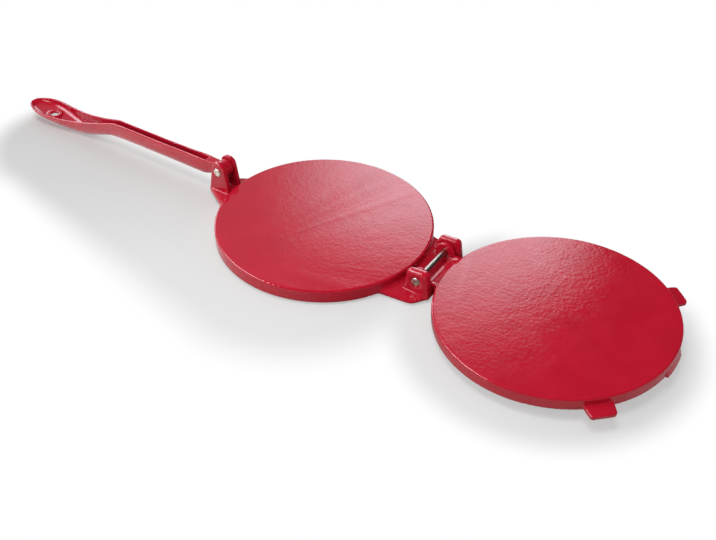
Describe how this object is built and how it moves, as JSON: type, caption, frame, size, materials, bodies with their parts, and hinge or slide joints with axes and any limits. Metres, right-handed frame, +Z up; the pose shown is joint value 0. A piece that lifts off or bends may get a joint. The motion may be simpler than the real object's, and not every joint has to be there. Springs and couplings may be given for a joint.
{
  "type": "tortilla press",
  "caption": "Hand tortilla press: round base plate, hinged upper plate turned over with its pressing face up, and a lever handle pivoted in a clevis and laid back.",
  "frame": {"origin": "on the table under the centre of the base plate, at the middle of the central foot's face", "axes": "+X from the lever to the upper plate, +Z up, the middle plane of the object is Y = 0"},
  "size_m": [0.7139, 0.202, 0.0375],
  "materials": {
    "red_coating": "gloss, fine orange peel",
    "bright_steel": "bright drawn"
  },
  "bodies": {
    "base": {"base_plate": "red_coating", "hinge_pin": "bright_steel", "lever_pin": "bright_steel"},
    "upper": {"upper_plate": "red_coating"},
    "lever": {"lever_handle": "red_coating"}
  },
  "joints": [
    {"name": "plate_hinge", "type": "hinge", "parent": "base", "child": "upper", "pos_m": [0.1148, 0, 0.0162], "axis": [0, -1, 0], "range_deg": [0, 177.8]},
    {"name": "lever_pivot", "type": "hinge", "parent": "base", "child": "lever", "pos_m": [-0.1168, 0, 0.0268], "axis": [0, 1, 0], "range_deg": [0, 152.5]}
  ]
}
